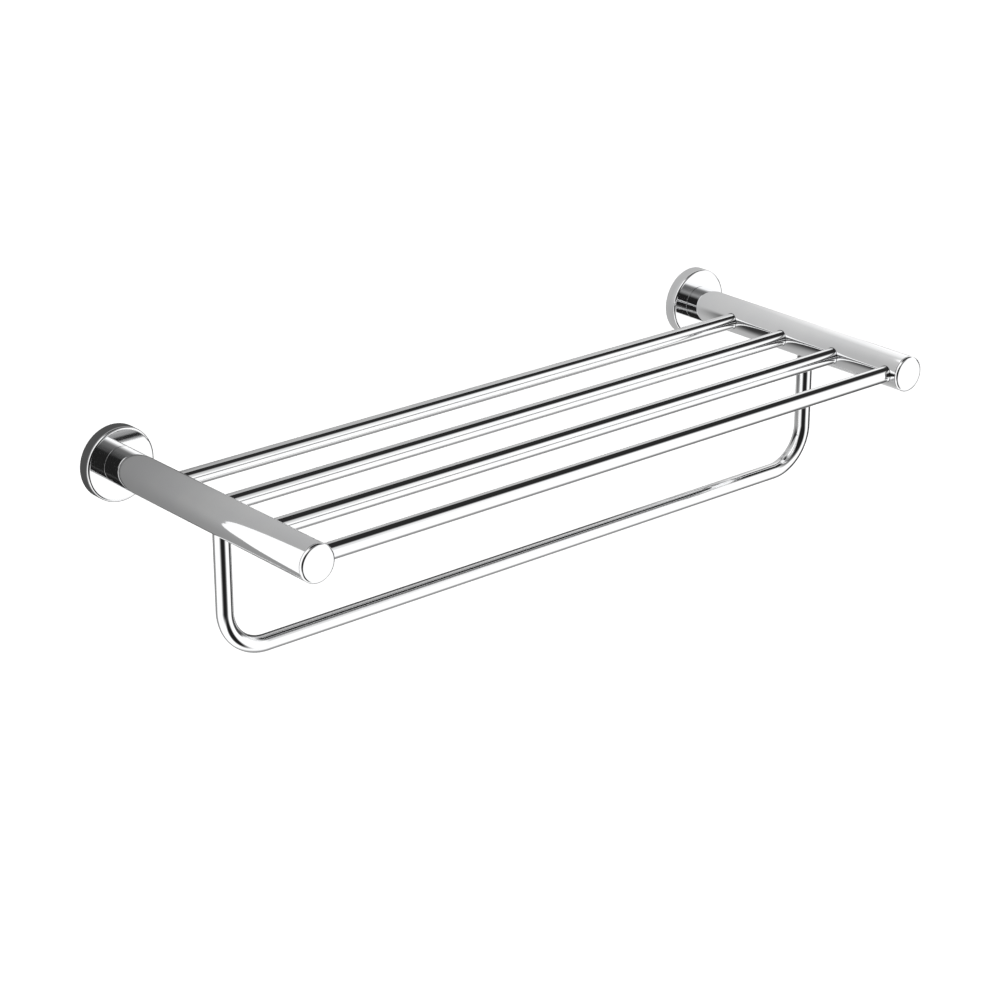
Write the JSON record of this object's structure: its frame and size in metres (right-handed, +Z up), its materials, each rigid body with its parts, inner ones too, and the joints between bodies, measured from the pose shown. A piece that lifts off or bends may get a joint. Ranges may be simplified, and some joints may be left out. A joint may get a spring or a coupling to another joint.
{
  "type": "wall-mounted towel rack",
  "caption": "Wall-mounted chrome towel shelf: round arms on rosettes carry parallel rails, with a U-shaped towel bar hung below.",
  "frame": {"origin": "on the wall plane, midway between the two wall plates, at the height of the arms' axes", "axes": "+X along the rails to the right as seen from the room, +Y into the wall, +Z up"},
  "size_m": [0.6, 0.234, 0.134],
  "materials": {
    "polished_chrome": "bright mirror-polished chrome plate",
    "plate_steel": "turned stainless steel, satin",
    "screw_steel": "stainless screw steel, satin",
    "spigot_brass": "turned brass, unpolished",
    "plug_nylon": "natural moulded nylon"
  },
  "bodies": {
    "root": {"left_wall_plate": "plate_steel", "left_rosette": "polished_chrome", "left_rosette_grub_screw": "screw_steel", "left_post_washer": "screw_steel", "left_post_screw": "screw_steel", "left_arm_insert": "spigot_brass", "left_arm_tube": "polished_chrome", "left_end_cap": "polished_chrome", "left_bar_spigot": "spigot_brass", "left_bar_spigot_nut": "screw_steel", "left_bar_grub_screw": "screw_steel", "right_wall_plate": "plate_steel", "right_rosette": "polished_chrome", "right_rosette_grub_screw": "screw_steel", "right_post_washer": "screw_steel", "right_post_screw": "screw_steel", "right_arm_insert": "spigot_brass", "right_arm_tube": "polished_chrome", "right_end_cap": "polished_chrome", "right_bar_spigot": "spigot_brass", "right_bar_spigot_nut": "screw_steel", "right_bar_grub_screw": "screw_steel", "shelf_rail_1": "polished_chrome", "rail_end_plug_left_1": "plug_nylon", "rail_end_plug_right_1": "plug_nylon", "shelf_rail_2": "polished_chrome", "rail_end_plug_left_2": "plug_nylon", "rail_end_plug_right_2": "plug_nylon", "shelf_rail_3": "polished_chrome", "rail_end_plug_left_3": "plug_nylon", "rail_end_plug_right_3": "plug_nylon", "shelf_rail_4": "polished_chrome", "rail_end_plug_left_4": "plug_nylon", "rail_end_plug_right_4": "plug_nylon", "towel_bar": "polished_chrome"}
  },
  "joints": []
}
